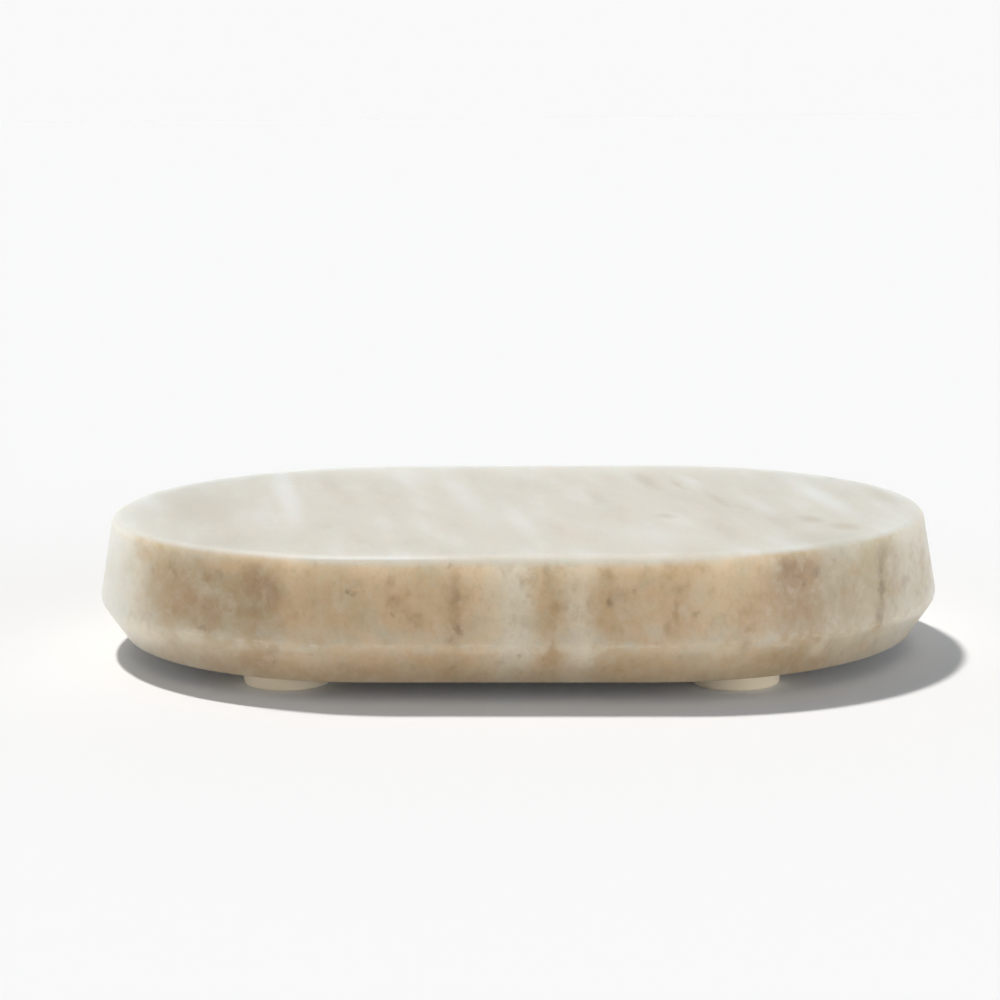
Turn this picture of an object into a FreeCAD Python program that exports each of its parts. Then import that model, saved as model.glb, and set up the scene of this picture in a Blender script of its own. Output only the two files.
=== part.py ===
"""Oval soap dish: one block of banded stone on four round feet, each held on by a disc of adhesive.

X runs along the dish, Y across it and Z up, in millimetres.  The origin is on the surface that the
dish stands on, under its middle, and the side at minus Y is called the front.
"""

import FreeCAD
import Part
import Sketcher

import math
import os

OUTPUT_FOLDER = "parts"

# Driving sizes: name, value (millimetres, or degrees for the one angle), meaning.
DRIVING_SIZES = (
    ("dish_length", 140.0, "stone at its widest ring, end to end"),
    ("dish_width", 97.0, "stone at its widest ring, front to rear"),
    ("stone_thickness", 20.0, "underside to top face"),
    ("undercut_height", 6.2, "underside to the widest ring"),
    ("undercut_inset", 4.2, "widest ring in to the underside's edge"),
    ("top_inset", 2.4, "widest ring in to the top face's edge"),
    ("top_edge_radius", 1.7, "easing of the top edge"),
    ("widest_edge_radius", 2.5, "easing of the widest ring"),
    ("underside_edge_radius", 0.6, "easing of the underside's edge"),
    ("foot_diameter", 14.0, "foot where it meets the adhesive"),
    ("foot_height", 2.85, "sole to the adhesive"),
    ("foot_draft_inset", 0.2, "how far the mould's draft brings the sole in"),
    ("foot_chamfer", 0.5, "chamfer round the sole"),
    ("foot_edge_margin", 3.4, "gap from the underside's edge in to a foot"),
    ("foot_angle", 66.0, "from the long axis to a foot, about the centre of the round end"),
    ("adhesive_thickness", 0.15, "adhesive between a foot and the stone"),
    ("adhesive_margin", 0.5, "foot's rim in to the adhesive's rim"),
)

# Each corner of the dish: name, side along X, side along Y.
CORNERS = (
    ("front_left", -1, -1),
    ("front_right", 1, -1),
    ("rear_left", -1, 1),
    ("rear_right", 1, 1),
)

HEIGHT_TOLERANCE = 1e-6


def make_sheet(doc):
    """Spreadsheet with one driving size in each row: meaning in column A, value in column B."""
    sheet = doc.addObject("Spreadsheet::Sheet", "Sizes")
    for row, (alias, value, meaning) in enumerate(DRIVING_SIZES, start=1):
        sheet.set(f"A{row}", meaning)
        sheet.set(f"B{row}", str(value))
        sheet.setAlias(f"B{row}", alias)
    doc.recompute()
    return sheet


def origin_feature(body, role):
    """One of the body's own origin planes or axes."""
    return next(feature for feature in body.Origin.OriginFeatures if feature.Role == role)


def new_sketch(body, name, plane):
    """Empty sketch on one of the body's origin planes."""
    sketch = body.newObject("Sketcher::SketchObject", name)
    sketch.AttachmentSupport = [(origin_feature(body, plane), "")]
    sketch.MapMode = "FlatFace"
    return sketch


def bind_constraint(sketch, name, constraint, expression):
    """Adds a named dimension to a sketch and drives it from the spreadsheet."""
    sketch.renameConstraint(sketch.addConstraint(constraint), name)
    sketch.setExpression(f"Constraints.{name}", expression)


def draw_stadium(sketch, sheet):
    """Two straight sides joined by half circles, centred on the sketch's origin."""
    radius = sheet.dish_width / 2
    centre = (sheet.dish_length - sheet.dish_width) / 2
    normal = FreeCAD.Vector(0, 0, 1)
    quarter = math.pi / 2

    rear_side = sketch.addGeometry(
        Part.LineSegment(FreeCAD.Vector(centre, radius, 0), FreeCAD.Vector(-centre, radius, 0))
    )
    left_circle = Part.Circle(FreeCAD.Vector(-centre, 0, 0), normal, radius)
    left_end = sketch.addGeometry(Part.ArcOfCircle(left_circle, quarter, 3 * quarter))
    front_side = sketch.addGeometry(
        Part.LineSegment(FreeCAD.Vector(-centre, -radius, 0), FreeCAD.Vector(centre, -radius, 0))
    )
    right_circle = Part.Circle(FreeCAD.Vector(centre, 0, 0), normal, radius)
    right_end = sketch.addGeometry(Part.ArcOfCircle(right_circle, -quarter, quarter))

    start, end, middle = 1, 2, 3
    root, origin_point = -1, 1
    sketch.addConstraint(
        [
            Sketcher.Constraint("Tangent", rear_side, end, left_end, start),
            Sketcher.Constraint("Tangent", left_end, end, front_side, start),
            Sketcher.Constraint("Tangent", front_side, end, right_end, start),
            Sketcher.Constraint("Tangent", right_end, end, rear_side, start),
            Sketcher.Constraint("Equal", left_end, right_end),
            Sketcher.Constraint("Horizontal", rear_side),
            Sketcher.Constraint("Symmetric", left_end, middle, right_end, middle, root, origin_point),
        ]
    )
    bind_constraint(
        sketch,
        "end_radius",
        Sketcher.Constraint("Radius", right_end, radius),
        "Sizes.dish_width / 2",
    )
    bind_constraint(
        sketch,
        "straight_length",
        Sketcher.Constraint("DistanceX", left_end, middle, right_end, middle, 2 * centre),
        "Sizes.dish_length - Sizes.dish_width",
    )


def edges_at_height(feature, height):
    """Names of the edges that lie flat at a height in the feature's own frame."""
    names = []
    for number, edge in enumerate(feature.Shape.Edges, start=1):
        box = edge.BoundBox
        if max(abs(box.ZMin - height), abs(box.ZMax - height)) < HEIGHT_TOLERANCE:
            names.append(f"Edge{number}")
    return names


def ease_edge(body, name, height, radius_alias):
    """Fillet round the whole ring of edges at one height."""
    base = body.Tip
    fillet = body.newObject("PartDesign::Fillet", name)
    fillet.Base = (base, edges_at_height(base, height))
    fillet.setExpression("Radius", f"Sizes.{radius_alias}")
    body.Document.recompute()


def make_stone_dish(doc, sheet):
    """Solid block that narrows from its widest ring: gently to the top, steeply to the underside."""
    body = doc.addObject("PartDesign::Body", "stone_dish")
    body.Label = "stone_dish"
    body.setExpression("Placement.Base.z", "Sizes.foot_height + Sizes.adhesive_thickness")

    outline = new_sketch(body, "widest_outline", "XY_Plane")
    outline.setExpression("AttachmentOffset.Base.z", "Sizes.undercut_height")
    draw_stadium(outline, sheet)
    doc.recompute()

    sides = body.newObject("PartDesign::Pad", "leaning_sides")
    sides.Profile = outline
    sides.setExpression("Length", "Sizes.stone_thickness - Sizes.undercut_height")
    sides.setExpression(
        "TaperAngle", "-atan(Sizes.top_inset / (Sizes.stone_thickness - Sizes.undercut_height))"
    )
    doc.recompute()

    undercut = body.newObject("PartDesign::Pad", "undercut_sides")
    undercut.Profile = outline
    undercut.Reversed = True
    undercut.setExpression("Length", "Sizes.undercut_height")
    undercut.setExpression("TaperAngle", "-atan(Sizes.undercut_inset / Sizes.undercut_height)")
    doc.recompute()

    ease_edge(body, "eased_top_edge", sheet.stone_thickness, "top_edge_radius")
    ease_edge(body, "eased_widest_ring", sheet.undercut_height, "widest_edge_radius")
    ease_edge(body, "eased_underside_edge", 0.0, "underside_edge_radius")
    return body


def place_under_corner(piece, along_x, along_y, height_expression):
    """Stands a piece on the axis of one corner's foot, a margin inside the underside's round end."""
    underside_radius = "(Sizes.dish_width / 2 - Sizes.undercut_inset)"
    reach = f"({underside_radius} - Sizes.foot_edge_margin - Sizes.foot_diameter / 2)"
    end_centre = "(Sizes.dish_length - Sizes.dish_width) / 2"
    angle = "Sizes.foot_angle * 1 deg"
    piece.setExpression("Placement.Base.x", f"{along_x} * ({end_centre} + {reach} * cos({angle}))")
    piece.setExpression("Placement.Base.y", f"{along_y} * {reach} * sin({angle})")
    piece.setExpression("Placement.Base.z", height_expression)


def draw_foot_profile(sketch, sheet):
    """Half section of a foot: flat sole, slightly leaning wall, flat top."""
    top_radius = sheet.foot_diameter / 2
    sole_radius = top_radius - sheet.foot_draft_inset
    height = sheet.foot_height
    corners = [(0, 0), (sole_radius, 0), (top_radius, height), (0, height)]
    points = [FreeCAD.Vector(x, y, 0) for x, y in corners]
    sole, wall, top, axis = (
        sketch.addGeometry(Part.LineSegment(points[i], points[(i + 1) % len(points)]))
        for i in range(len(points))
    )

    start, end = 1, 2
    root, origin_point = -1, 1
    sketch.addConstraint(
        [
            Sketcher.Constraint("Coincident", sole, end, wall, start),
            Sketcher.Constraint("Coincident", wall, end, top, start),
            Sketcher.Constraint("Coincident", top, end, axis, start),
            Sketcher.Constraint("Coincident", axis, end, sole, start),
            Sketcher.Constraint("Coincident", sole, start, root, origin_point),
            Sketcher.Constraint("Horizontal", sole),
            Sketcher.Constraint("Horizontal", top),
            Sketcher.Constraint("Vertical", axis),
        ]
    )
    bind_constraint(
        sketch,
        "sole_radius",
        Sketcher.Constraint("DistanceX", sole, start, sole, end, sole_radius),
        "Sizes.foot_diameter / 2 - Sizes.foot_draft_inset",
    )
    bind_constraint(
        sketch,
        "top_radius",
        Sketcher.Constraint("DistanceX", axis, start, wall, end, top_radius),
        "Sizes.foot_diameter / 2",
    )
    bind_constraint(
        sketch,
        "height",
        Sketcher.Constraint("DistanceY", sole, start, axis, start, height),
        "Sizes.foot_height",
    )


def make_foot(doc, sheet, corner, along_x, along_y):
    """Moulded elastomer button, turned about its own axis, with its sole on the surface below."""
    body = doc.addObject("PartDesign::Body", f"foot_{corner}")
    body.Label = f"foot_{corner}"
    place_under_corner(body, along_x, along_y, "0")

    profile = new_sketch(body, f"foot_profile_{corner}", "XZ_Plane")
    draw_foot_profile(profile, sheet)
    doc.recompute()

    button = body.newObject("PartDesign::Revolution", f"foot_button_{corner}")
    button.Profile = profile
    button.ReferenceAxis = (profile, ["V_Axis"])
    button.Angle = 360.0
    doc.recompute()

    chamfer = body.newObject("PartDesign::Chamfer", f"chamfered_sole_{corner}")
    chamfer.Base = (button, edges_at_height(button, 0.0))
    chamfer.setExpression("Size", "Sizes.foot_chamfer")
    doc.recompute()
    return body


def make_adhesive(doc, corner, along_x, along_y):
    """Thin disc of adhesive that fills the gap between a foot's top and the stone's underside."""
    disc = doc.addObject("Part::Cylinder", f"adhesive_{corner}")
    disc.Label = f"adhesive_{corner}"
    disc.setExpression("Radius", "Sizes.foot_diameter / 2 - Sizes.adhesive_margin")
    disc.setExpression("Height", "Sizes.adhesive_thickness")
    place_under_corner(disc, along_x, along_y, "Sizes.foot_height")
    return disc


def check_document(doc, pieces):
    """Stops the build if any object failed or any piece isn't one valid closed solid."""
    failed = [obj.Name for obj in doc.Objects if {"Invalid", "Error"} & set(obj.State)]
    if failed:
        raise RuntimeError(f"these objects failed to compute: {failed}")
    for piece in pieces:
        shape = piece.Shape
        if shape.isNull() or not shape.isValid() or len(shape.Solids) != 1:
            raise RuntimeError(f"{piece.Label} is not one valid solid")


def write_parts(pieces):
    """One STEP file for each piece, named after its label."""
    os.makedirs(OUTPUT_FOLDER, exist_ok=True)
    for piece in pieces:
        piece.Shape.exportStep(os.path.join(OUTPUT_FOLDER, f"{piece.Label}.step"))
        box = piece.Shape.optimalBoundingBox(False)
        print(
            f"{piece.Label}: {box.XLength:.2f} x {box.YLength:.2f} x {box.ZLength:.2f} mm, "
            f"{piece.Shape.Volume:.1f} mm3, from z {box.ZMin:.2f}"
        )


def main():
    doc = FreeCAD.newDocument("soap_dish")
    sheet = make_sheet(doc)
    pieces = [make_stone_dish(doc, sheet)]
    for corner in CORNERS:
        pieces.append(make_foot(doc, sheet, *corner))
        pieces.append(make_adhesive(doc, *corner))
    doc.recompute()
    check_document(doc, pieces)
    write_parts(pieces)


main()
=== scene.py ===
import math

import bmesh
import bpy
from mathutils import Matrix, Vector, noise


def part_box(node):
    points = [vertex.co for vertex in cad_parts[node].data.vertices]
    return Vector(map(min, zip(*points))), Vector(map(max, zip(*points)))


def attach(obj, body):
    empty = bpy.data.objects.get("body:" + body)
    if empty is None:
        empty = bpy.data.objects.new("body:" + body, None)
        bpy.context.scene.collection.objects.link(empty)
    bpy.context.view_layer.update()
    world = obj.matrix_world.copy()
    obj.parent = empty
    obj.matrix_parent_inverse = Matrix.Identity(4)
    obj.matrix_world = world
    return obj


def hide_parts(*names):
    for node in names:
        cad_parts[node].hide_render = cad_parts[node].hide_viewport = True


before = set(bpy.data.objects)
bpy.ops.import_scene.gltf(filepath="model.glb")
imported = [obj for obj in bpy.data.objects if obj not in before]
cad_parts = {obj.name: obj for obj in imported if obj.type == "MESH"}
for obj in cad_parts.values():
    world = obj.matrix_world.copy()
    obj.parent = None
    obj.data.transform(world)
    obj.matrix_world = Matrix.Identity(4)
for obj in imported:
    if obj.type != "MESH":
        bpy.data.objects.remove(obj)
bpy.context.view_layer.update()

# Stone block: one piece of banded beige marble, ground to a gentle lean above its widest ring and to
# a steep undercut below it, then honed.  The edges are eased by hand, so they waver and carry chips.
MM = 0.001
stone_low, stone_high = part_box("stone_dish")
RING_HEIGHT = stone_low.z + 6.2 * MM
RING_EASING_LOSS = 0.137 * MM
RING_RADIUS = stone_high.y + RING_EASING_LOSS
HALF_STRAIGHT = stone_high.x - stone_high.y
UNDERSIDE_RADIUS = RING_RADIUS - 4.2 * MM
TOP_RADIUS = RING_RADIUS - 2.4 * MM
UNDERSIDE_EASING = 0.32 * MM
RING_EASING = 1.01 * MM
TOP_EASING = 1.43 * MM
EASING_STEPS = 7
SIDE_ROW = 0.6 * MM
FLAT_RING = 3.0 * MM
ROUND_STEPS = 480
STRAIGHT_CUTS = 32
DRAWN_LENGTH = 0.9 * HALF_STRAIGHT
TINY = 1e-6


def draw_section(mesh, corners):
    """Joins the corners of a half section by edges, and gives its points."""
    points = [mesh.verts.new(corner) for corner in corners]
    for point, next_point in zip(points, points[1:]):
        mesh.edges.new((point, next_point))
    return points


def ease(mesh, corner, easing, steps):
    """Rounds one corner of a half section."""
    bmesh.ops.bevel(
        mesh,
        geom=[corner],
        offset=easing,
        affect="VERTICES",
        segments=steps,
        profile=0.5,
        material=-1,
    )


def spin_round(mesh, middle, steps):
    """Spins a half section once round the upright axis through the middle."""
    bmesh.ops.spin(
        mesh,
        geom=mesh.verts[:] + mesh.edges[:],
        cent=middle,
        axis=(0, 0, 1),
        angle=2 * math.pi,
        steps=steps,
        use_merge=True,
    )
    bmesh.ops.remove_doubles(mesh, verts=mesh.verts, dist=TINY)


def new_object(name, mesh):
    """Hands a finished mesh to a new object at the origin, smoothly shaded."""
    data = bpy.data.meshes.new(name)
    mesh.to_mesh(data)
    mesh.free()
    data.shade_smooth()
    made = bpy.data.objects.new(name, data)
    bpy.context.scene.collection.objects.link(made)
    return made


# Half section of a round dish, from the middle of the underside to the middle of the top.
stone_mesh = bmesh.new()
_, underside_corner, ring_corner, top_corner, _ = draw_section(
    stone_mesh,
    (
        (0, 0, stone_low.z),
        (UNDERSIDE_RADIUS, 0, stone_low.z),
        (RING_RADIUS, 0, RING_HEIGHT),
        (TOP_RADIUS, 0, stone_high.z),
        (0, 0, stone_high.z),
    ),
)
ease(stone_mesh, underside_corner, UNDERSIDE_EASING, EASING_STEPS)
ease(stone_mesh, ring_corner, RING_EASING, EASING_STEPS)
ease(stone_mesh, top_corner, TOP_EASING, EASING_STEPS)
for edge in stone_mesh.edges[:]:
    is_flat = abs(edge.verts[0].co.z - edge.verts[1].co.z) < TINY
    rows = int(edge.calc_length() / (FLAT_RING if is_flat else SIDE_ROW))
    if rows > 1:
        bmesh.ops.subdivide_edges(stone_mesh, edges=[edge], cuts=rows - 1)

# Spun into a round dish, then parted at the middle and drawn out along X.
spin_round(stone_mesh, (0, 0, 0), ROUND_STEPS)
for side in (-1, 1):
    end_points = [point for point in stone_mesh.verts if point.co.x * side > TINY]
    bmesh.ops.translate(stone_mesh, verts=end_points, vec=(side * HALF_STRAIGHT, 0, 0))
drawn_edges = [
    edge
    for edge in stone_mesh.edges
    if edge.calc_length() > DRAWN_LENGTH and min(abs(point.co.y) for point in edge.verts) > TINY
]
bmesh.ops.subdivide_edges(stone_mesh, edges=drawn_edges, cuts=STRAIGHT_CUTS, use_grid_fill=True)
bmesh.ops.recalc_face_normals(stone_mesh, faces=stone_mesh.faces)

# Chips along the widest ring and a slow waver of all the sides, both only ever inwards.
CHIP_REACH = 1.1 * MM
CHIP_DEPTH = 0.22 * MM
CHIP_FREQUENCY = 420.0
CHIP_LEVEL = 0.22
WAVER_DEPTH = 0.09 * MM
WAVER_FREQUENCY = 110.0
for point in stone_mesh.verts:
    from_axis = Vector((max(abs(point.co.x) - HALF_STRAIGHT, 0), point.co.y, 0))
    if from_axis.length < UNDERSIDE_RADIUS - UNDERSIDE_EASING:
        continue
    inward = Vector((-math.copysign(from_axis.x, point.co.x), -from_axis.y, 0)).normalized()
    waver = WAVER_DEPTH * (0.5 + 0.5 * noise.noise(point.co * WAVER_FREQUENCY))
    nearness = max(0.0, 1 - abs(point.co.z - RING_HEIGHT) / CHIP_REACH)
    chip = max(0.0, noise.noise(point.co * CHIP_FREQUENCY) - CHIP_LEVEL) / (1 - CHIP_LEVEL)
    point.co += inward * (waver + CHIP_DEPTH * nearness * chip)
stone = new_object("stone_block", stone_mesh)


class Shade:
    """One socket of a material.  Arithmetic on it adds Math nodes, and add() adds any other node."""

    def __init__(self, tree, socket=None):
        self.tree = tree
        self.socket = socket

    def add(self, kind, settings, sockets, output=0):
        """Adds a node: its settings first, then a value or a link for each socket, by name or number."""
        node = self.tree.nodes.new("ShaderNode" + kind)
        for name, value in settings.items():
            if name == "stops":
                elements = node.color_ramp.elements
                while len(elements) < len(value):
                    elements.new(1.0)
                for element, (position, colour) in zip(elements, value):
                    element.position = position
                    element.color = (*colour, 1)
            else:
                setattr(node, name, value)
        for name, value in sockets.items():
            if isinstance(value, Shade):
                self.tree.links.new(value.socket, node.inputs[name])
            else:
                node.inputs[name].default_value = value
        return Shade(self.tree, node.outputs[output] if node.outputs else None)

    def math(self, operation, *values):
        return self.add("Math", {"operation": operation}, dict(enumerate(values)))

    def __add__(self, other):
        return self.math("ADD", self, other)

    def __sub__(self, other):
        return self.math("SUBTRACT", self, other)

    def __rsub__(self, other):
        return self.math("SUBTRACT", other, self)

    def __mul__(self, other):
        return self.math("MULTIPLY", self, other)

    def __abs__(self):
        return self.math("ABSOLUTE", self)

    __radd__ = __add__
    __rmul__ = __mul__


def new_material(name):
    """An empty material and a Shade that adds its nodes."""
    material = bpy.data.materials.new(name)
    material.use_nodes = True
    material.node_tree.nodes.clear()
    return material, Shade(material.node_tree)


def place_in_mm(shade):
    """The place on a piece in the frame of the dish, in millimetres."""
    place = shade.add("TexCoord", {}, {}, output="Object")
    return shade.add("VectorMath", {"operation": "SCALE"}, {0: place, "Scale": 1 / MM})


def show_as(shade, sockets):
    """Makes a Principled surface with these sockets the result of the material."""
    surface = shade.add("BsdfPrincipled", {}, sockets)
    shade.add("OutputMaterial", {}, {0: surface})


def screen_colour(red, green, blue):
    """Linear colour of a screen colour given from 0 to 255."""
    channels = [channel / 255 for channel in (red, green, blue)]
    return tuple(c / 12.92 if c < 0.04045 else ((c + 0.055) / 1.055) ** 2.4 for c in channels)


def rise(value, start, end):
    """0 at start, 1 at end and a smooth step between them; it falls where start is above end."""
    smooth = {"interpolation_type": "SMOOTHSTEP"}
    return value.add("MapRange", smooth, {"Value": value, "From Min": start, "From Max": end})


def mix(factor, first, second):
    """Blend from the first colour to the second."""
    colours = [(*c, 1) if isinstance(c, tuple) else c for c in (first, second)]
    return factor.add("Mix", {"data_type": "RGBA"}, {0: factor, 6: colours[0], 7: colours[1]}, output=2)


def stain(colour, tone, share, where):
    """Takes so large a share of a tone into the colour, where the mask is 1."""
    return mix(share * where, colour, tone)


def noise_in(place, grain, detail=2.0, roughness=0.5, offset=0.0):
    """Noise from 0 to 1 with a grain of so many millimetres along each axis."""
    rate = [1 / size for size in grain]
    moved = place.add(
        "VectorMath", {"operation": "MULTIPLY_ADD"}, {0: place, 1: rate, 2: (offset, offset, offset)}
    )
    return place.add(
        "TexNoise", {}, {"Vector": moved, "Scale": 1.0, "Detail": detail, "Roughness": roughness}
    )


# Stone: near-upright sheets that cross the dish a little askew, pale and dark by turns.  Each band is
# named for its colour, at the place in millimetres where it would cross the middle of the dish.
CHALK = screen_colour(225, 211, 187)
PEARL = screen_colour(218, 200, 172)
CREAM = screen_colour(220, 194, 157)
HONEY = screen_colour(210, 180, 141)
SAND = screen_colour(203, 172, 131)
TAN = screen_colour(189, 161, 122)
BROWN = screen_colour(182, 151, 111)
ASH = screen_colour(197, 178, 148)
DRAB = screen_colour(186, 167, 137)
LINEN = screen_colour(211, 198, 178)
BANDS = (
    (-70, CHALK), (-65.5, PEARL), (-62, ASH), (-59.5, TAN), (-53, BROWN), (-49, TAN), (-45.5, BROWN),
    (-41, HONEY), (-33, SAND), (-28, HONEY), (-19, HONEY), (-17, SAND), (-15, HONEY), (-11.5, CREAM),
    (-8.5, CHALK), (-6, CHALK), (-3.5, HONEY), (-1, SAND), (1.5, PEARL), (4, PEARL), (6.5, SAND),
    (9, SAND), (13, HONEY), (19, HONEY), (23.5, CREAM), (30, HONEY), (35, BROWN), (39.5, BROWN),
    (43, DRAB), (50, ASH), (53, DRAB), (58, LINEN),
)
BAND_SKEW = 0.18
BAND_REACH = 72.0
SLOW_GRAIN = (20, 40, 16)
QUICK_GRAIN = (3.0, 14, 4.0)
SLOW_WANDER = 4.0
QUICK_WANDER = 4.5
stone_material, shade = new_material("banded_marble")
place = place_in_mm(shade)
along, across, height = (shade.add("SeparateXYZ", {}, {0: place}, output=axis) for axis in range(3))
sheets = shade.add("CombineXYZ", {}, {0: along + BAND_SKEW * across, 1: across, 2: height})
slow = noise_in(sheets, SLOW_GRAIN, detail=1.0) - 0.5
quick = noise_in(sheets, QUICK_GRAIN, detail=4.0, roughness=0.6, offset=7.0) - 0.5
band_place = along + BAND_SKEW * across + SLOW_WANDER * slow + QUICK_WANDER * quick
band_stops = [((position + BAND_REACH) / (2 * BAND_REACH), tone) for position, tone in BANDS]
colour = shade.add("ValToRGB", {"stops": band_stops}, {0: (band_place + BAND_REACH) * (0.5 / BAND_REACH)})

# Clouds within the bands: milky, rusty and olive by turns.
MILK = screen_colour(215, 199, 174)
RUST = screen_colour(190, 155, 112)
OLIVE = screen_colour(186, 169, 133)
CLOUD_GRAIN = (4.0, 10, 4.5)
OLIVE_GRAIN = (6.0, 14, 5.0)
CLOUD_EDGE = (0.50, 0.70)
clouds = noise_in(sheets, CLOUD_GRAIN, detail=5.0, roughness=0.62, offset=3.0)
olive_clouds = noise_in(sheets, OLIVE_GRAIN, detail=3.0, offset=23.0)
colour = stain(colour, MILK, share=0.55, where=rise(clouds, *CLOUD_EDGE))
colour = stain(colour, RUST, share=0.60, where=rise(1 - clouds, *CLOUD_EDGE))
colour = stain(colour, OLIVE, share=0.50, where=rise(olive_clouds, *CLOUD_EDGE))

# Painted glow: the sides are painted peach towards the top edge, most of all in the middle of the front,
# where light through the lit top would come out of the stone just below the edge.
PAINTED_GLOW = screen_colour(240, 207, 170)
PAINTED_GLOW_DEPTH = 2.6
PAINTED_GLOW_GRAIN = (7.0, 18, 9.0)
PAINTED_GLOW_LEAST = 0.3
PAINTED_GLOW_FADE_ALONG = (30.0, 46.0)
PAINTED_GLOW_LOSS_ALONG = 0.7
PAINTED_GLOW_FADE_REARWARD = (-15.0, 15.0)
PAINTED_GLOW_LOSS_REARWARD = 0.6
WHITE_MIDDLE = 1.0
WHITE_REACH = (62.0, 71.5)
stone_top = stone_high.z / MM
from_middle = abs(along)
ends = rise(abs(band_place - WHITE_MIDDLE), *WHITE_REACH)
glow_clouds = rise(noise_in(sheets, PAINTED_GLOW_GRAIN, detail=3.0, offset=53.0), 0.36, 0.60)
painted_glow = PAINTED_GLOW_LEAST + (1 - PAINTED_GLOW_LEAST) * glow_clouds
painted_glow = painted_glow * (1 - PAINTED_GLOW_LOSS_REARWARD * rise(across, *PAINTED_GLOW_FADE_REARWARD))
painted_glow = painted_glow * (1 - PAINTED_GLOW_LOSS_ALONG * rise(from_middle, *PAINTED_GLOW_FADE_ALONG)) * (1 - ends)
painted_glow = painted_glow * shade.math("EXPONENT", (height - stone_top) * (1 / PAINTED_GLOW_DEPTH))
# The peach is painted glow of light through the stone, in cloudy patches, fading towards the rear and the
# ends.
colour = stain(colour, PAINTED_GLOW, share=0.88, where=painted_glow)

# Below the widest ring the undercut is painted darker and earthier towards the floor as painted shade, and
# paler towards both ends, partly stone and partly painted light from the lit floor.  A grey haze along the
# ring is partly cloudy stone and partly painted sheen.
UNDERCUT_SHADE = screen_colour(181, 160, 127)
ASHEN_AND_PAINTED_LIGHT = screen_colour(195, 185, 165)
UNDERCUT_SHADE_FADE = (4.0, 9.5)
ASHEN_LIGHT_FADE = (6.0, 10.5)
ASHEN_LIGHT_REACH = (38.0, 62.0)
HAZE_GRAIN = (3.0, 4.0, 2.0)
HAZE_LIFT = 0.6
HAZE_WIDTH = 4.0
HAZE_LEAST = 0.2
HAZE_GAIN = 0.5
ring_height = RING_HEIGHT / MM
pale_lit_foot = rise(abs(band_place), *ASHEN_LIGHT_REACH)
# Painted shade: darker and earthier towards the bottom of the undercut.
colour = stain(colour, UNDERCUT_SHADE, share=0.55, where=(1 - pale_lit_foot) * (1 - rise(height, *UNDERCUT_SHADE_FADE)))
# Paler undercut towards the ends: partly stone, partly painted light from the floor.
colour = stain(colour, ASHEN_AND_PAINTED_LIGHT, share=0.60, where=pale_lit_foot * (1 - rise(height, *ASHEN_LIGHT_FADE)))
haze_clouds = rise(noise_in(sheets, HAZE_GRAIN, detail=4.0, roughness=0.6, offset=31.0), 0.42, 0.66)
near_ring = 1 - rise(abs(height - (ring_height + HAZE_LIFT)), 0.0, HAZE_WIDTH)
# Grey haze along the ring: cloudy stone with painted sheen.
colour = mix((HAZE_LEAST + HAZE_GAIN * haze_clouds) * near_ring, colour, ASHEN_AND_PAINTED_LIGHT)

# Both ends run out into white stone.
END_WHITE = screen_colour(227, 223, 211)
colour = stain(colour, END_WHITE, share=0.85, where=ends)

# The top face is paler and greyer, partly as the sheets show end on and partly as painted sheen of the
# light falling on it, with long frosty and dusky streaks.  This pale colour reaches further down the eased
# edge in the middle of the front than towards the ends, and a tan tone is painted there as glow along the
# front edge.
PALE_TOP_AND_SHEEN = screen_colour(204, 202, 191)
FROST = screen_colour(224, 225, 222)
DUSK = screen_colour(187, 178, 163)
EDGE_GLOW_TONE = screen_colour(208, 191, 168)
STREAK_GRAIN = (6.5, 26, 8)
REAR_PALING = (24.0, 46.0)
TOP_DEPTH = 0.05
EDGE_SHEEN_REACH = 2.0
EDGE_SHEEN_LOSS = 1.1
SHEEN_LOSS_ALONG = (18.0, 42.0)
EDGE_FOOT = (2.0, 0.8)
EDGE_CROWN = (0.12, 0.02)
EDGE_GLOW_FADE = (24.0, 42.0)
FRONT_FADE = (0.0, -20.0)
edge_sheen_reach = EDGE_SHEEN_REACH - EDGE_SHEEN_LOSS * rise(from_middle, *SHEEN_LOSS_ALONG)
is_top = rise(height, stone_top - edge_sheen_reach, stone_top - TOP_DEPTH)
streaks = noise_in(sheets, STREAK_GRAIN, detail=3.0, offset=41.0)
top_colour_and_sheen = stain(PALE_TOP_AND_SHEEN, FROST, share=0.50, where=rise(streaks, 0.48, 0.74))
top_colour_and_sheen = stain(top_colour_and_sheen, DUSK, share=0.45, where=rise(1 - streaks, 0.52, 0.74))
top_colour_and_sheen = stain(top_colour_and_sheen, END_WHITE, share=0.45, where=rise(across, *REAR_PALING))
# The top colour, painted sheen included, covers the top and reaches down the eased edge.
colour = stain(colour, top_colour_and_sheen, share=0.9, where=is_top)
below_top = stone_top - height
eased_edge = rise(below_top, *EDGE_FOOT) * (1 - rise(below_top, *EDGE_CROWN))
is_front = rise(across, *FRONT_FADE)
painted_edge_glow = eased_edge * (1 - rise(from_middle, *EDGE_GLOW_FADE)) * is_front
# Painted glow: a tan-cream tone along the eased front edge, strongest in the middle of the front.
colour = stain(colour, EDGE_GLOW_TONE, share=0.4, where=painted_edge_glow)

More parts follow.
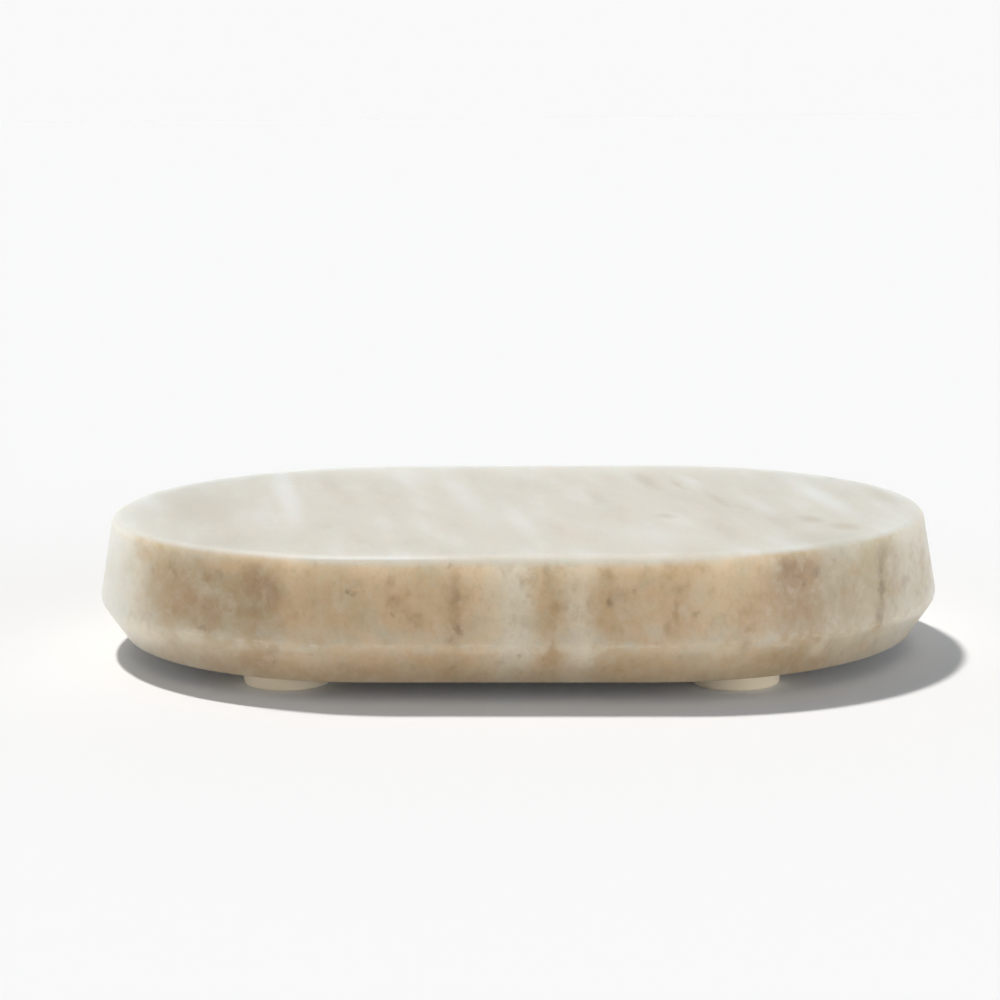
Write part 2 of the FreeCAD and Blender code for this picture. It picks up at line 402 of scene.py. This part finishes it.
# Single veins, patches and specks.  Each mark on the front has its place (along, up), its reach along and
# up, and its strength.  Each mark on the top has its place (along, across), its reach and its strength.
UMBER = screen_colour(132, 102, 68)
OCHRE = screen_colour(168, 140, 98)
BARK = screen_colour(167, 130, 89)
AMBER = screen_colour(214, 170, 122)
SLATE = screen_colour(166, 152, 128)
VEIN = screen_colour(142, 121, 94)
FRONT_MARK_DEPTH = 9.0
TOP_MARK_DEPTH = 4.0
MARK_EDGE = (1.2, 0.1)
SMUDGE_RATE = 0.8
SMUDGE = 2.2
FRONT_MARKS = {
    AMBER: ((-43.5, 20.6, 4.5, 1.4, 0.5), (-57.0, 20.2, 2.5, 1.2, 0.3), (27.0, 20.5, 8.0, 1.6, 0.25)),
    OCHRE: (
        (-51.8, 19.3, 0.8, 2.8, 0.7), (-38.2, 14.6, 1.4, 2.2, 0.4), (-13.2, 13.5, 2.0, 1.6, 0.4),
        (6.8, 19.6, 1.2, 2.8, 0.5), (15.6, 20.0, 1.5, 1.8, 0.5), (46.8, 13.6, 2.6, 3.4, 0.3),
    ),
    BARK: (
        (-37.5, 18.6, 4.0, 2.8, 0.55), (-35.2, 16.2, 1.4, 2.6, 0.6), (-44.6, 15.2, 2.0, 3.4, 0.15),
        (-45.8, 18.6, 1.4, 1.0, 0.5), (-35.6, 8.5, 1.8, 1.2, 0.5), (-22.2, 18.9, 1.8, 1.0, 0.4),
        (-17.0, 19.6, 0.8, 1.6, 0.4), (-16.6, 16.5, 1.5, 1.1, 0.4), (-7.4, 15.0, 1.2, 8.0, 0.4),
        (-8.0, 21.6, 0.6, 0.9, 0.5), (8.0, 15.4, 1.9, 1.3, 0.4), (7.2, 9.4, 0.9, 1.4, 0.5),
        (16.8, 17.0, 2.2, 1.6, 0.4), (25.8, 15.0, 0.7, 2.4, 0.5), (24.4, 12.2, 1.1, 1.6, 0.35),
        (35.9, 9.2, 1.2, 1.2, 0.45), (43.8, 19.4, 4.6, 3.2, 0.9), (46.6, 9.2, 1.6, 1.6, 0.4),
        (-20.0, 4.8, 6.0, 1.6, 0.35), (56.8, 9.2, 1.2, 1.2, 0.45), (-39.0, 6.0, 4.0, 2.4, 0.35),
        (7.0, 7.4, 1.6, 2.4, 0.35), (44.6, 20.4, 3.0, 1.8, 0.6), (-51.0, 15.0, 3.0, 4.0, 0.25),
    ),
    UMBER: (
        (-47.0, 10.9, 0.7, 0.5, 0.45), (-35.2, 6.2, 0.7, 0.6, 0.35), (-23.5, 17.9, 0.6, 0.6, 0.6),
        (-22.6, 17.4, 0.8, 0.5, 0.45), (-16.8, 14.2, 0.5, 0.4, 0.4), (-6.8, 16.8, 0.9, 0.7, 0.3),
        (-7.3, 12.3, 1.1, 1.2, 0.4), (-8.1, 10.4, 0.8, 0.8, 0.45), (-7.5, 6.0, 0.8, 1.2, 0.3),
        (15.8, 15.9, 0.9, 1.2, 0.55), (19.4, 17.7, 0.6, 0.6, 0.35), (28.8, 14.4, 0.8, 0.5, 0.3),
        (47.4, 19.2, 1.1, 1.3, 0.5), (45.6, 17.9, 0.7, 0.6, 0.45), (42.6, 20.8, 1.6, 1.2, 0.35),
        (-43.6, 19.4, 0.8, 0.9, 0.3), (2.2, 8.0, 0.5, 0.5, 0.35), (-29.5, 7.9, 0.5, 0.4, 0.35),
        (-13.8, 5.8, 0.6, 0.8, 0.3), (17.6, 5.4, 0.6, 0.5, 0.35), (36.2, 11.6, 0.6, 0.6, 0.3),
    ),
    VEIN: (
        (58.2, 15.6, 0.8, 4.2, 0.7), (57.6, 10.6, 1.1, 2.4, 0.55), (58.9, 20.2, 2.2, 2.2, 0.4),
        (62.4, 14.6, 1.6, 1.4, 0.3),
    ),
    CHALK: (
        (11.8, 7.8, 2.2, 2.4, 0.7), (12.0, 14.0, 2.0, 6.0, 0.3), (22.6, 12.0, 2.0, 2.6, 0.4),
        (-59.0, 7.4, 6.0, 3.2, 0.65), (-49.0, 9.4, 3.0, 1.8, 0.4), (-28.5, 6.4, 3.4, 2.4, 0.4),
        (47.6, 7.0, 2.6, 2.4, 0.5),
    ),
}
TOP_MARKS = {
    FROST: (
        (-40.0, 10.0, 2.8, 36.0, 0.75), (-9.5, 10.0, 3.5, 30.0, 0.40), (1.0, -15.0, 2.4, 24.0, 0.50),
        (51.5, 8.0, 3.2, 26.0, 0.75), (41.0, -2.0, 2.2, 14.0, 0.40), (22.0, -28.0, 7.0, 12.0, 0.40),
        (-20.0, 30.0, 4.5, 14.0, 0.40), (30.0, 26.0, 2.0, 9.0, 0.50),
    ),
    DUSK: (
        (-54.0, 0.0, 9.0, 34.0, 0.55), (-34.0, 24.0, 3.0, 18.0, 0.50), (13.5, 8.0, 2.0, 10.0, 0.50),
        (31.0, -4.0, 6.0, 24.0, 0.30), (50.0, -34.0, 8.0, 9.0, 0.60), (-47.0, -36.0, 9.0, 9.0, 0.40),
    ),
    SLATE: (
        (22.0, 26.0, 2.0, 12.0, 0.40), (27.5, 22.0, 0.9, 6.0, 0.40), (34.0, 5.0, 1.4, 10.0, 0.35),
        (25.0, -11.0, 2.0, 3.5, 0.35), (48.0, -14.5, 2.8, 4.5, 0.50), (53.0, -21.0, 3.0, 4.5, 0.45),
        (62.0, 9.0, 2.4, 12.0, 0.40), (55.0, 28.0, 2.0, 5.0, 0.25),
    ),
}
smudge = shade.add(
    "TexNoise", {}, {"Vector": sheets, "Scale": SMUDGE_RATE, "Detail": 4.0, "Roughness": 0.6}, output=1
)
smudge = shade.add("VectorMath", {"operation": "SUBTRACT"}, {0: smudge, 1: (0.5, 0.5, 0.5)})
smudged = shade.add(
    "VectorMath", {"operation": "MULTIPLY_ADD"}, {0: smudge, 1: (SMUDGE, SMUDGE, SMUDGE), 2: sheets}
)


def blot(middle, reach):
    """How far one soft, smudged mark covers each place; its middle and reach are in millimetres."""
    middle = (middle[0] + BAND_SKEW * middle[1], middle[1], middle[2])
    rate = [1 / size for size in reach]
    start = [-position / size for position, size in zip(middle, reach)]
    offset = smudged.add("VectorMath", {"operation": "MULTIPLY_ADD"}, {0: smudged, 1: rate, 2: start})
    distance = smudged.add("VectorMath", {"operation": "LENGTH"}, {0: offset}, output=1)
    return rise(distance, *MARK_EDGE)


for tone, marks in FRONT_MARKS.items():
    for mark_along, mark_up, reach_along, reach_up, strength in marks:
        round_part = max(abs(mark_along) - HALF_STRAIGHT / MM, 0)
        front = -math.sqrt((RING_RADIUS / MM) ** 2 - round_part**2)
        mark = blot((mark_along, front, mark_up), (reach_along, FRONT_MARK_DEPTH, reach_up))
        colour = stain(colour, tone, share=strength, where=mark)
for tone, marks in TOP_MARKS.items():
    for mark_along, mark_across, reach_along, reach_across, strength in marks:
        mark = blot((mark_along, mark_across, stone_top), (reach_along, reach_across, TOP_MARK_DEPTH))
        colour = stain(colour, tone, share=strength, where=mark)

# Flecks, crystals and grain: short upright flecks on the sides, sugary crystals and grain all over.
FLECK_GRAIN = (1.7, 6.0, 2.2)
FLECK_EDGE = (0.50, 0.80)
FINE_GRAIN = (0.35, 0.35, 0.35)
CRYSTAL_RATE = 0.9
flecks = noise_in(sheets, FLECK_GRAIN, detail=2.5, offset=11.0)
on_sides = (1 - is_top) * (1 - ends)
colour = stain(colour, BARK, share=0.34, where=on_sides * rise(flecks, *FLECK_EDGE))
colour = stain(colour, MILK, share=0.34, where=on_sides * rise(1 - flecks, *FLECK_EDGE))
crystals = shade.add("TexVoronoi", {}, {"Vector": smudged, "Scale": CRYSTAL_RATE}, output="Color")
crystals = shade.add("SeparateColor", {}, {0: crystals})
colour = stain(colour, CHALK, share=0.12, where=crystals)
grain = noise_in(place, FINE_GRAIN, detail=2.0, offset=2.0)
colour = stain(colour, BARK, share=0.10, where=rise(grain, 0.50, 0.75))

# Both arrises carry pale lines: a thin painted highlight along the left of the front top edge, and a broken
# line on the ring that is partly wear and partly painted glint.
PAINTED_HIGHLIGHT = screen_colour(238, 236, 231)
TOP_HIGHLIGHT_DEPTH = 0.35
TOP_HIGHLIGHT_WIDTH = (0.32, 0.05)
TOP_HIGHLIGHT_LEFT = (-42.0, -22.0)
TOP_HIGHLIGHT_RIGHT = (-2.0, -18.0)
RING_LINE_LIFT = 0.4
RING_LINE_WIDTH = (0.05, 0.5)
RING_LINE_GRAIN = (2.5, 2.5, 0.8)
top_highlight = rise(abs(height - (stone_top - TOP_HIGHLIGHT_DEPTH)), *TOP_HIGHLIGHT_WIDTH)
top_highlight = top_highlight * rise(along, *TOP_HIGHLIGHT_LEFT) * rise(along, *TOP_HIGHLIGHT_RIGHT) * is_front
# Painted highlight along the left of the front top edge.
colour = stain(colour, PAINTED_HIGHLIGHT, share=0.5, where=top_highlight)
ring_wear_and_glint = 1 - rise(abs(height - (ring_height + RING_LINE_LIFT)), *RING_LINE_WIDTH)
line_breaks = rise(noise_in(place, RING_LINE_GRAIN, detail=3.0, offset=5.0), 0.47, 0.68)
# The broken ring line is partly wear and partly painted glint.
colour = stain(colour, CHALK, share=0.35, where=line_breaks * ring_wear_and_glint)

# Honed all over, and rougher on the eased top edge.  Light goes a little way into the stone.
HONED = 0.36
GRAIN_ROUGHNESS = 0.12
EDGE_ROUGHNESS = 0.2
GRAIN_DEPTH = 0.1 * MM
show_as(
    shade,
    {
        "Base Color": colour,
        "Roughness": HONED + GRAIN_ROUGHNESS * grain + EDGE_ROUGHNESS * eased_edge,
        "IOR": 1.5,
        "Subsurface Weight": 1.0,
        "Subsurface Radius": (1.0, 1.5, 1.9),
        "Subsurface Scale": 0.012,
        "Normal": shade.add("Bump", {}, {"Strength": 0.12, "Distance": GRAIN_DEPTH, "Height": grain}),
    },
)
stone.data.materials.append(stone_material)
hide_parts("stone_dish")
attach(stone, "root")

# Feet: four round buttons of cream elastomer, moulded with a little draft and a rounded sole.
# Each is stuck under one corner of the stone by its own adhesive disc.
FOOT_ROUNDING = 0.55 * MM
FOOT_ROUNDING_STEPS = 6
FOOT_DRAFT = 0.2 * MM
FOOT_STEPS = 96
FOOT_CREASE = math.radians(40)
FOOT_CREAM = screen_colour(250, 230, 197)
FOOT_PALE = screen_colour(253, 237, 209)
FOOT_CLOUD_GRAIN = (3.0, 3.0, 3.0)
FOOT_FINE_GRAIN = (0.25, 0.25, 0.25)
foot_material, shade = new_material("cream_elastomer")
place = place_in_mm(shade)
foot_grain = noise_in(place, FOOT_FINE_GRAIN, detail=2.0)
show_as(
    shade,
    {
        "Base Color": mix(noise_in(place, FOOT_CLOUD_GRAIN, detail=3.0), FOOT_CREAM, FOOT_PALE),
        "Roughness": 0.5 + 0.1 * foot_grain,
        "Normal": shade.add("Bump", {}, {"Strength": 0.2, "Distance": GRAIN_DEPTH, "Height": foot_grain}),
    },
)
for corner in ("front_left", "front_right", "rear_left", "rear_right"):
    low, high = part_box("foot_" + corner)
    middle = (low + high) / 2
    radius = (high.x - low.x) / 2
    outline = ((0, low.z), (radius - FOOT_DRAFT, low.z), (radius, high.z), (0, high.z))
    foot_mesh = bmesh.new()
    foot_points = draw_section(foot_mesh, [(middle.x + reach, middle.y, level) for reach, level in outline])
    ease(foot_mesh, foot_points[1], FOOT_ROUNDING, FOOT_ROUNDING_STEPS)
    spin_round(foot_mesh, middle, FOOT_STEPS)
    bmesh.ops.recalc_face_normals(foot_mesh, faces=foot_mesh.faces)
    foot = new_object("foot_button_" + corner, foot_mesh)
    foot.data.set_sharp_from_angle(angle=FOOT_CREASE)
    foot.data.materials.append(foot_material)
    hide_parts("foot_" + corner)
    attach(foot, "root")

# Adhesive discs: a thin film of milky adhesive, cut round, that holds each foot to the stone.
# They are hidden between the two and stay as the CAD made them, so they only get their material.
FILM_MILKY = screen_colour(218, 214, 203)
FILM_PALE = screen_colour(228, 225, 216)
FILM_GRAIN = (1.5, 1.5, 1.5)
adhesive_material, shade = new_material("milky_adhesive")
place = place_in_mm(shade)
film_cloud = noise_in(place, FILM_GRAIN, detail=3.0)
show_as(
    shade,
    {"Base Color": mix(film_cloud, FILM_MILKY, FILM_PALE), "Roughness": 0.35 + 0.2 * film_cloud},
)
for name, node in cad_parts.items():
    if name.startswith("adhesive_"):
        node.data.materials.clear()
        node.data.materials.append(adhesive_material)

# Floor: a plain pale sheet under the dish, wide enough to run out of the picture.
# It has a faint cool glow, so that the shadow stays a neutral grey beside the warm stone.
FLOOR_REACH = 6.0
FLOOR_COLOUR = (0.912, 0.912, 0.912, 1)
FLOOR_GLOW = (0.003, 0.006, 0.010, 1)
floor_mesh = bmesh.new()
bmesh.ops.create_grid(floor_mesh, x_segments=1, y_segments=1, size=FLOOR_REACH)
floor = new_object("floor", floor_mesh)
floor_material, shade = new_material("pale_floor")
lit = shade.add("BsdfDiffuse", {}, {"Color": FLOOR_COLOUR})
glow = shade.add("Emission", {}, {"Color": FLOOR_GLOW, "Strength": 1.0})
surface = shade.add("AddShader", {}, {0: lit, 1: glow})
shade.add("OutputMaterial", {}, {0: surface})
floor.data.materials.append(floor_material)

# Light: a soft white room that is brightest along its floor line, a white card low on each side, and a
# key like a small window, high behind the dish on the left.  The camera and mirror-like reflections see
# a plain pale backdrop instead of the room.
BACKGROUND = (0.948, 0.948, 0.948, 1)
ROOM_COLOUR = (0.935, 1.0, 1.075, 1)
ROOM_TOP = 0.17
ROOM_REARWARD = 0.7
FLOOR_LINE_STRENGTH = 0.8
FLOOR_LINE_TIGHTNESS = 3.0
# Each card's direction, strength and tightness.
CARDS = (
    ((0.85, -0.50, 0.06), 4.6, 20),
    ((-0.90, -0.20, 0.15), 1.0, 12),
)
KEY_STRENGTH = 2.49
KEY_COLOUR = (1.0, 0.968, 0.928)
KEY_ANGLE = math.radians(4.5)
KEY_FROM = Vector((-0.285, 0.325, 1.0))
world = bpy.data.worlds.new("white_room")
bpy.context.scene.world = world
world.use_nodes = True
world.node_tree.nodes.clear()
shade = Shade(world.node_tree)
direction = shade.add("TexCoord", {}, {}, output="Generated")
rearward = shade.add("SeparateXYZ", {}, {0: direction}, output="Y")
upward = shade.add("SeparateXYZ", {}, {0: direction}, output="Z")
floor_line = shade.math("POWER", 1 - shade.math("MAXIMUM", upward, 0.0), FLOOR_LINE_TIGHTNESS)
strength = ROOM_TOP * (1 + ROOM_REARWARD * rearward) + FLOOR_LINE_STRENGTH * floor_line
for card_from, card_strength, tightness in CARDS:
    card_from = Vector(card_from).normalized()
    facing = shade.add("VectorMath", {"operation": "DOT_PRODUCT"}, {0: direction, 1: card_from}, output=1)
    card = shade.math("POWER", shade.math("MAXIMUM", facing, 0.0), tightness)
    strength = strength + card_strength * card
room = shade.add("Background", {}, {"Color": ROOM_COLOUR, "Strength": strength})
backdrop = shade.add("Background", {}, {"Color": BACKGROUND, "Strength": 1.0})
seen = shade.add("LightPath", {}, {}, output="Is Camera Ray")
for ray in ("Is Glossy Ray", "Is Transmission Ray"):
    seen = shade.math("MAXIMUM", seen, shade.add("LightPath", {}, {}, output=ray))
surface = shade.add("MixShader", {}, {0: seen, 1: room, 2: backdrop})
shade.add("OutputWorld", {}, {0: surface})
key_light = bpy.data.lights.new("key", "SUN")
key_light.energy = KEY_STRENGTH
key_light.angle = KEY_ANGLE
key_light.color = KEY_COLOUR
key = bpy.data.objects.new("key", key_light)
key.rotation_euler = KEY_FROM.to_track_quat("Z", "Y").to_euler()
bpy.context.scene.collection.objects.link(key)

# Camera: low in front and a little to the right, aimed at the dish and tipped a little to one side.
# Yaw turns it about the upright, pitch tips it down, and roll turns it about its own line of sight.
CAMERA_PLACE = Vector((15.6, -420.0, 93.5)) * MM
CAMERA_YAW = math.radians(-2.503)
CAMERA_PITCH = math.radians(9.400)
CAMERA_ROLL = math.radians(-0.588)
CAMERA_LENS = 91.23
SENSOR_WIDTH = 36.0
NEAREST_SEEN = 10.0 * MM
camera_data = bpy.data.cameras.new("camera")
camera_data.lens = CAMERA_LENS
camera_data.sensor_width = SENSOR_WIDTH
camera_data.clip_start = NEAREST_SEEN
camera = bpy.data.objects.new("camera", camera_data)
forward = Vector(
    (
        math.sin(CAMERA_YAW) * math.cos(CAMERA_PITCH),
        math.cos(CAMERA_YAW) * math.cos(CAMERA_PITCH),
        -math.sin(CAMERA_PITCH),
    )
)
level_right = Vector((math.cos(CAMERA_YAW), -math.sin(CAMERA_YAW), 0))
level_up = level_right.cross(forward)
right = math.cos(CAMERA_ROLL) * level_right + math.sin(CAMERA_ROLL) * level_up
up = right.cross(forward)
turn = Matrix((right, up, -forward)).transposed()
camera.matrix_world = Matrix.Translation(CAMERA_PLACE) @ turn.to_4x4()
bpy.context.scene.collection.objects.link(camera)
bpy.context.scene.camera = camera
bpy.context.scene.view_settings.view_transform = "Standard"
